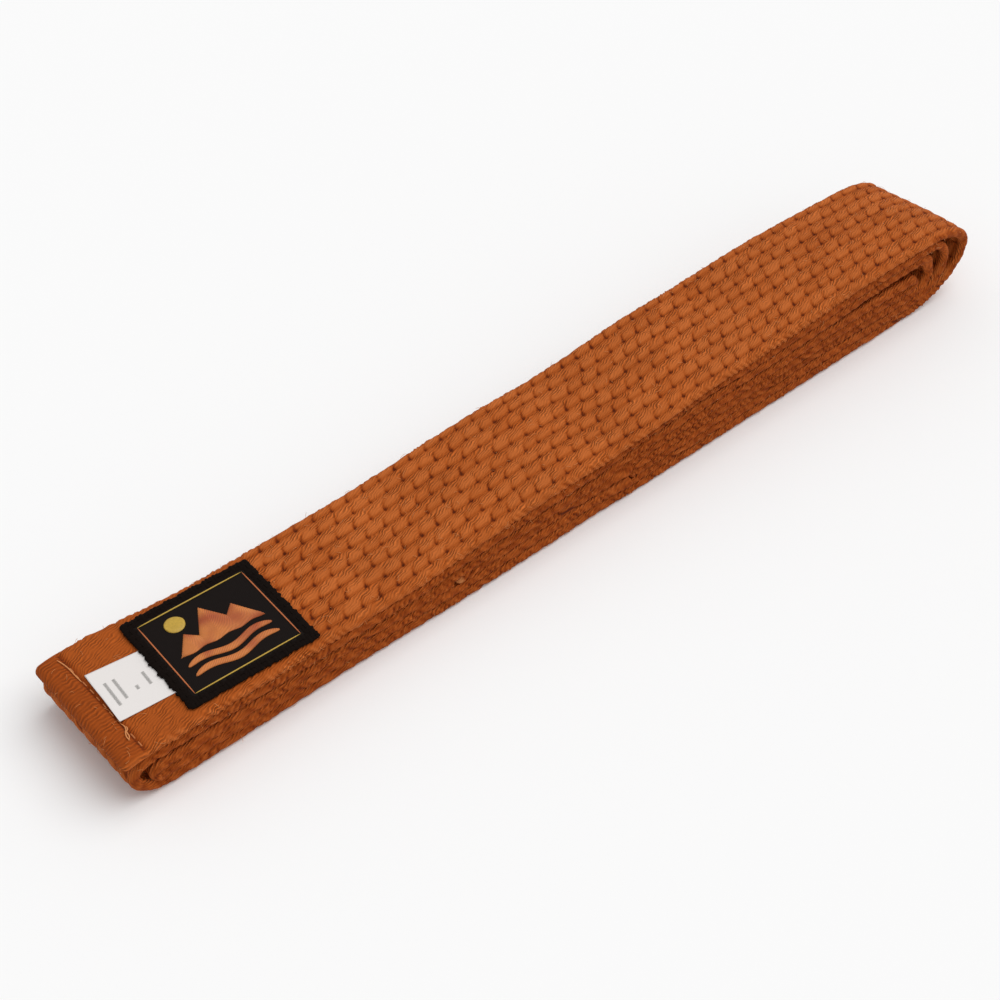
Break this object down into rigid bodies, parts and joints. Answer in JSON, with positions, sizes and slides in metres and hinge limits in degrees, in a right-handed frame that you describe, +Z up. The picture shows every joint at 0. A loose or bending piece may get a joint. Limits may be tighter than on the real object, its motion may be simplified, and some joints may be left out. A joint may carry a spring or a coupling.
{
  "type": "martial arts belt",
  "caption": "Martial arts belt rolled flat into a slim packet: quilted twill strip with a hemmed end, a size tag and an embroidered badge",
  "frame": {"origin": "middle of the packet's footprint, on the surface it lies on", "axes": "+X along the packet from the tagged end to the far bends, +Y across it, +Z up"},
  "size_m": [0.3208, 0.04, 0.0285],
  "materials": {
    "twill": "matte",
    "cotton_plies": "matte",
    "sewing_thread": "satin",
    "badge_twill": "matte",
    "overlock_thread": "satin",
    "gold_thread": "satin",
    "satin_thread": "satin",
    "satin_tape": "satin"
  },
  "bodies": {
    "packet": {"cover_rolled_length": "twill", "core_rolled_length": "cotton_plies", "cover_outer_bend": "twill", "core_outer_bend": "cotton_plies"},
    "tagged_run": {"cover_tagged_run": "twill", "core_tagged_run": "cotton_plies", "quilting_row_1": "sewing_thread", "quilting_row_2": "sewing_thread", "quilting_row_3": "sewing_thread", "quilting_row_4": "sewing_thread", "quilting_row_5": "sewing_thread", "quilting_row_6": "sewing_thread", "quilting_row_7": "sewing_thread", "quilting_row_8": "sewing_thread", "hem_seam_tagged_end": "sewing_thread", "hem_thread_tail_back": "sewing_thread", "hem_thread_tail_front": "sewing_thread", "size_tag": "satin_tape", "badge_ground": "badge_twill", "badge_overlocked_border": "overlock_thread", "badge_seam": "overlock_thread", "badge_frame_line": "gold_thread", "motif_peaks": "satin_thread", "motif_sun": "gold_thread", "motif_wave_1": "satin_thread", "motif_wave_2": "satin_thread"}
  },
  "joints": [
    {"name": "tagged_end_lift", "type": "hinge", "parent": "packet", "child": "tagged_run", "pos_m": [0.1462, 0, 0.0139], "axis": [0, 1, 0], "range_deg": [0, 90], "deforming": ["cover_outer_bend", "core_outer_bend"]}
  ]
}
